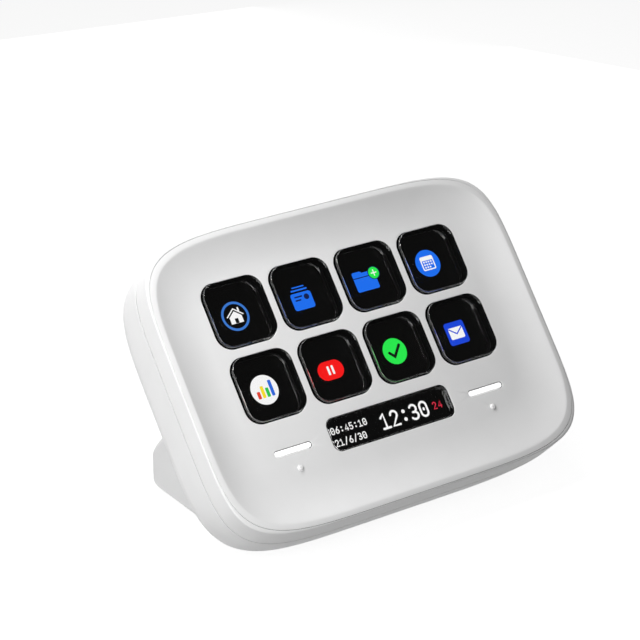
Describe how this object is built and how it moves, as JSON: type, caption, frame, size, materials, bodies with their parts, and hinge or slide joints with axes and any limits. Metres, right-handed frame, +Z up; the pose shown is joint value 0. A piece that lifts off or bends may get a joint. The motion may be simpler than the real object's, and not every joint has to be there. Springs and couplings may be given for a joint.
{
  "type": "desk display keypad",
  "caption": "Tilted desk keypad with clear display keys that press in, a dark information strip and two touch bars on a wedge stand.",
  "frame": {"origin": "middle of the whole object's footprint box, on the desk plane", "axes": "+Z up, +X to the user's right, -Y towards the user; the face leans back at 50 degrees to the desk"},
  "size_m": [0.107, 0.0691, 0.0722],
  "materials": {
    "shell_white": "fine satin moulded plastic, white",
    "inner_black": "black moulded plastic",
    "window_black": "polished dark window",
    "display_panel": "dark display glass",
    "backlight_tray": "thin metal tray",
    "light_bar": "milky light guide",
    "circuit_board": "solder mask over glass fibre board",
    "switch_film": "printed polyester film",
    "chip_black": "moulded component body",
    "connector_ivory": "moulded connector",
    "ribbon_amber": "flat flexible ribbon",
    "socket_steel": "drawn steel shell",
    "screw_steel": "dark zinc plated steel",
    "pad_rubber": "fine textured rubber",
    "ballast_steel": "plain steel plate",
    "silicone": "soft silicone",
    "clear_cap": "polished clear acrylic over a dark display"
  },
  "bodies": {
    "housing": {"front_cover": "shell_white", "rear_cover": "shell_white", "stand_shell": "shell_white", "key_guide": "inner_black", "inner_frame": "inner_black", "stand_plate": "inner_black", "info_window": "window_black", "info_display": "display_panel", "display_glass": "display_panel", "display_backlight": "backlight_tray", "light_bar_left": "light_bar", "light_bar_right": "light_bar", "touch_board_left": "circuit_board", "touch_board_right": "circuit_board", "main_board": "circuit_board", "switch_film": "switch_film", "board_chips": "chip_black", "board_connectors": "connector_ivory", "touch_headers": "chip_black", "display_ribbon": "ribbon_amber", "info_ribbon": "ribbon_amber", "switch_ribbon": "ribbon_amber", "usb_c_shell": "socket_steel", "usb_c_tongue": "chip_black", "cover_screws": "screw_steel", "frame_screws": "screw_steel", "board_screws": "screw_steel", "stand_screws": "screw_steel", "plate_screws": "screw_steel", "stand_pad": "pad_rubber", "ballast_plate": "ballast_steel", "silicone_ring_1": "silicone", "silicone_ring_2": "silicone", "silicone_ring_3": "silicone", "silicone_ring_4": "silicone", "silicone_ring_5": "silicone", "silicone_ring_6": "silicone", "silicone_ring_7": "silicone", "silicone_ring_8": "silicone"},
    "key_1": {"key_cap_1": "clear_cap"},
    "key_2": {"key_cap_2": "clear_cap"},
    "key_3": {"key_cap_3": "clear_cap"},
    "key_4": {"key_cap_4": "clear_cap"},
    "key_5": {"key_cap_5": "clear_cap"},
    "key_6": {"key_cap_6": "clear_cap"},
    "key_7": {"key_cap_7": "clear_cap"},
    "key_8": {"key_cap_8": "clear_cap"}
  },
  "joints": [
    {"name": "key_1_press", "type": "slide", "parent": "housing", "child": "key_1", "axis": [0, 0.766, -0.6428], "range_m": [0, 0.0012], "stiffness_N_per_m": 250, "springref_m": -0.0014, "deforming": ["silicone_ring_1"]},
    {"name": "key_2_press", "type": "slide", "parent": "housing", "child": "key_2", "axis": [0, 0.766, -0.6428], "range_m": [0, 0.0012], "stiffness_N_per_m": 250, "springref_m": -0.0014, "deforming": ["silicone_ring_2"]},
    {"name": "key_3_press", "type": "slide", "parent": "housing", "child": "key_3", "axis": [0, 0.766, -0.6428], "range_m": [0, 0.0012], "stiffness_N_per_m": 250, "springref_m": -0.0014, "deforming": ["silicone_ring_3"]},
    {"name": "key_4_press", "type": "slide", "parent": "housing", "child": "key_4", "axis": [0, 0.766, -0.6428], "range_m": [0, 0.0012], "stiffness_N_per_m": 250, "springref_m": -0.0014, "deforming": ["silicone_ring_4"]},
    {"name": "key_5_press", "type": "slide", "parent": "housing", "child": "key_5", "axis": [0, 0.766, -0.6428], "range_m": [0, 0.0012], "stiffness_N_per_m": 250, "springref_m": -0.0014, "deforming": ["silicone_ring_5"]},
    {"name": "key_6_press", "type": "slide", "parent": "housing", "child": "key_6", "axis": [0, 0.766, -0.6428], "range_m": [0, 0.0012], "stiffness_N_per_m": 250, "springref_m": -0.0014, "deforming": ["silicone_ring_6"]},
    {"name": "key_7_press", "type": "slide", "parent": "housing", "child": "key_7", "axis": [0, 0.766, -0.6428], "range_m": [0, 0.0012], "stiffness_N_per_m": 250, "springref_m": -0.0014, "deforming": ["silicone_ring_7"]},
    {"name": "key_8_press", "type": "slide", "parent": "housing", "child": "key_8", "axis": [0, 0.766, -0.6428], "range_m": [0, 0.0012], "stiffness_N_per_m": 250, "springref_m": -0.0014, "deforming": ["silicone_ring_8"]}
  ]
}
